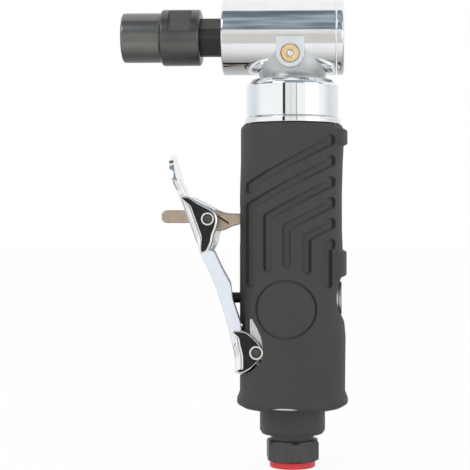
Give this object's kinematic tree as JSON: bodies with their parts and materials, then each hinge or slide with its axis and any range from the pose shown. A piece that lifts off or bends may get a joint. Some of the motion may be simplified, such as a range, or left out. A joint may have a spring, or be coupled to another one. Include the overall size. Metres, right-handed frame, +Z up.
{
  "type": "right angle die grinder",
  "caption": "Hand-held air die grinder with a right angle spindle head, rubber grip, squeeze lever with a safety latch and an air inlet in its foot.",
  "frame": {"origin": "centre of the transport plug's outer face, at the foot of the handle's axis", "axes": "+Z up the handle's axis; the spindle points along -X, the side where the lever hangs"},
  "size_m": [0.0822, 0.0394, 0.1658],
  "materials": {
    "chrome": "mirror polished",
    "cast_metal": "satin",
    "aluminium": "turned",
    "gunmetal": "dark satin",
    "dark_steel": "blackened",
    "bright_steel": "ground",
    "tan_steel": "satin",
    "brass": "satin",
    "grip_rubber": "matte",
    "seal_rubber": "matte",
    "black_coat": "satin",
    "red_plastic": "satin",
    "vane_resin": "matte",
    "silencer_felt": "felt"
  },
  "bodies": {
    "handle": {"motor_housing": "aluminium", "grip_sleeve": "grip_rubber", "clamp_nut": "chrome", "rear_plate": "cast_metal", "front_plate": "cast_metal", "cylinder_liner": "bright_steel", "locating_pin": "bright_steel", "preload_ring": "cast_metal", "rotor_rear_bearing": "bright_steel", "rotor_front_bearing": "bright_steel", "head_housing": "chrome", "head_cap": "chrome", "grease_fitting": "brass", "pinion_lower_bearing": "bright_steel", "pinion_upper_bearing": "bright_steel", "spindle_front_bearing": "bright_steel", "spindle_rear_bearing": "bright_steel", "inlet_bushing": "dark_steel", "inlet_screen": "brass", "exhaust_deflector": "black_coat", "exhaust_silencer": "silencer_felt", "inlet_washer": "seal_rubber", "valve_bushing": "brass", "stem_o_ring": "seal_rubber", "valve_seat": "seal_rubber", "valve_spring": "bright_steel", "regulator_clip": "dark_steel", "lever_pin": "bright_steel"},
    "rotor_body": {"rotor": "bright_steel", "vane_1": "vane_resin", "vane_2": "vane_resin", "vane_3": "vane_resin", "vane_4": "vane_resin", "bevel_pinion": "bright_steel", "pinion_spacer": "dark_steel"},
    "spindle_body": {"spindle": "dark_steel", "bevel_gear": "bright_steel", "spindle_spacer": "dark_steel"},
    "collet_body": {"collet": "dark_steel"},
    "nut_body": {"collet_nut": "gunmetal"},
    "lever": {"throttle_lever": "chrome", "latch_pin": "bright_steel", "latch_spring": "bright_steel"},
    "latch": {"safety_latch": "tan_steel"},
    "valve": {"valve_stem": "dark_steel", "valve_poppet": "brass"},
    "regulator": {"air_regulator": "aluminium", "regulator_o_ring": "seal_rubber"},
    "plug": {"inlet_plug": "red_plastic"}
  },
  "joints": [
    {"name": "lever_turn", "type": "hinge", "parent": "handle", "child": "lever", "pos_m": [-0.0122, 0, 0.0413], "axis": [0, 1, 0], "range_deg": [0, 8], "stiffness_Nm_per_rad": 0.6, "springref_deg": -8.59},
    {"name": "valve_slide", "type": "slide", "parent": "handle", "child": "valve", "axis": [1, 0, 0], "range_m": [0, 0.00245], "deforming": ["valve_spring"]},
    {"name": "latch_turn", "type": "hinge", "parent": "lever", "child": "latch", "pos_m": [-0.02915, 0, 0.0878], "axis": [0, 1, 0], "range_deg": [0, 76]},
    {"name": "rotor_spin", "type": "hinge", "parent": "handle", "child": "rotor_body", "pos_m": [0, 0, 0.0977], "axis": [0, 0, 1], "continuous": true},
    {"name": "spindle_spin", "type": "hinge", "parent": "handle", "child": "spindle_body", "pos_m": [0, 0, 0.1524], "axis": [1, 0, 0], "continuous": true},
    {"name": "collet_slide", "type": "slide", "parent": "spindle_body", "child": "collet_body", "axis": [-1, 0, 0], "range_m": [0, 0.003]},
    {"name": "collet_nut_turn", "type": "hinge", "parent": "collet_body", "child": "nut_body", "pos_m": [-0.045, 0, 0.1524], "axis": [-1, 0, 0], "range_deg": [0, 1080]},
    {"name": "regulator_turn", "type": "hinge", "parent": "handle", "child": "regulator", "pos_m": [0.013, 0, 0.0599], "axis": [1, 0, 0], "range_deg": [0, 180]},
    {"name": "plug_slide", "type": "slide", "parent": "handle", "child": "plug", "axis": [0, 0, -1], "range_m": [0, 0.012]}
  ],
  "couplings": [
    {"joint": "valve_slide", "follows": "lever_turn", "m_per_rad": 0.01754},
    {"joint": "latch_turn", "follows": "lever_turn", "ratio": 9.5},
    {"joint": "spindle_spin", "follows": "rotor_spin", "ratio": -0.75},
    {"joint": "collet_nut_turn", "follows": "collet_slide", "rad_per_m": 6283.1}
  ]
}
